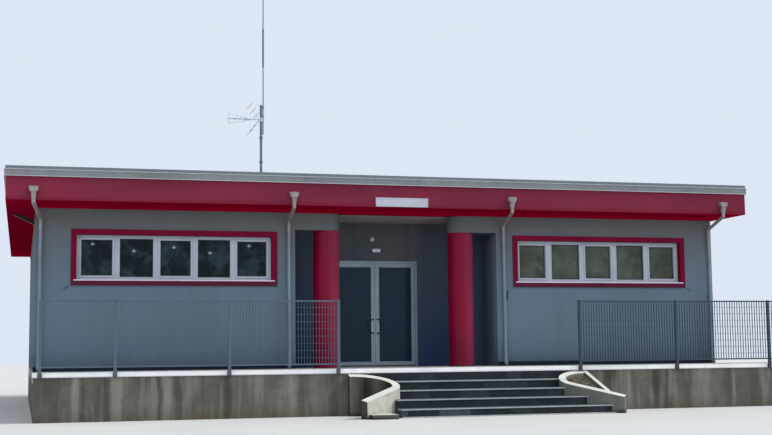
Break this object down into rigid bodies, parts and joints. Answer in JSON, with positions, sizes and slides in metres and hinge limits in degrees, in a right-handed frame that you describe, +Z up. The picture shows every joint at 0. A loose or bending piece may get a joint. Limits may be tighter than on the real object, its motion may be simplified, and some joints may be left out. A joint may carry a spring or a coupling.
{
  "type": "fire station building",
  "caption": "Low flat-roofed station building on a raised plinth, with a recessed double-door entrance, steps, fences and a roof mast.",
  "frame": {"origin": "on the ground under the middle of the front wall's outer face", "axes": "+X along the front to the right seen from outside, +Y into the building, +Z up"},
  "size_m": [19.255, 18.7212, 10.71],
  "materials": {
    "concrete": "rough",
    "pale_edge": "matt",
    "grey_wall": "matt",
    "dark_wall": "matt",
    "red_paint": "satin",
    "dark_red": "matt",
    "red_fascia": "matt",
    "coping_metal": "satin",
    "white_frame": "matt",
    "window_glass": "polished",
    "door_metal": "satin",
    "door_glass": "polished",
    "handle_metal": "satin",
    "stair_stone": "matt",
    "pale_concrete": "rough",
    "fence_metal": "satin",
    "pipe_metal": "satin",
    "dark_skirting": "matt",
    "lamp_plastic": "gloss",
    "black_plastic": "matt",
    "mast_metal": "satin"
  },
  "bodies": {
    "building": {"floor_slab": "concrete", "walkway_slab": "concrete", "deck_edge": "pale_edge", "plinth_front": "concrete", "plinth_sides": "concrete", "walkway_end": "concrete", "plinth_back": "concrete", "front_footing": "concrete", "front_wall_left": "grey_wall", "front_wall_right": "grey_wall", "left_wall": "grey_wall", "right_wall": "grey_wall", "back_wall": "grey_wall", "recess_wall_left": "dark_wall", "recess_wall_right": "dark_wall", "entrance_wall_left": "dark_wall", "entrance_wall_right": "dark_wall", "entrance_wall_over": "dark_wall", "recess_ceiling": "grey_wall", "columns": "red_paint", "lintels": "grey_wall", "top_band": "dark_red", "roof_slab": "dark_red", "fascia": "red_fascia", "coping": "coping_metal", "window_surrounds": "red_paint", "window_frames": "white_frame", "window_sills": "white_frame", "window_glass": "window_glass", "door_frame": "door_metal", "door_hinges": "door_metal", "stair_base": "stair_stone", "stair_treads": "pale_edge", "wing_wall_left": "pale_concrete", "wing_wall_right": "pale_concrete", "fence_posts": "fence_metal", "fence_panels_left": "fence_metal", "fence_panels_right": "fence_metal", "downpipes": "pipe_metal", "rain_hoppers": "pipe_metal", "skirting": "dark_skirting", "entrance_lights": "lamp_plastic", "side_light": "black_plastic", "mast_pole": "mast_metal", "whip_antenna": "mast_metal", "yagi_antenna": "mast_metal"},
    "left_leaf": {"door_leaf_left": "door_metal", "door_glass_left": "door_glass", "door_handle_left": "handle_metal"},
    "right_leaf": {"door_leaf_right": "door_metal", "door_glass_right": "door_glass", "door_handle_right": "handle_metal"}
  },
  "joints": [
    {"name": "left_door_hinge", "type": "hinge", "parent": "building", "child": "left_leaf", "pos_m": [-0.9965, 1.969, 0.98], "axis": [0, 0, -1], "range_deg": [0, 90]},
    {"name": "right_door_hinge", "type": "hinge", "parent": "building", "child": "right_leaf", "pos_m": [0.9965, 1.969, 0.98], "axis": [0, 0, 1], "range_deg": [0, 90]}
  ]
}
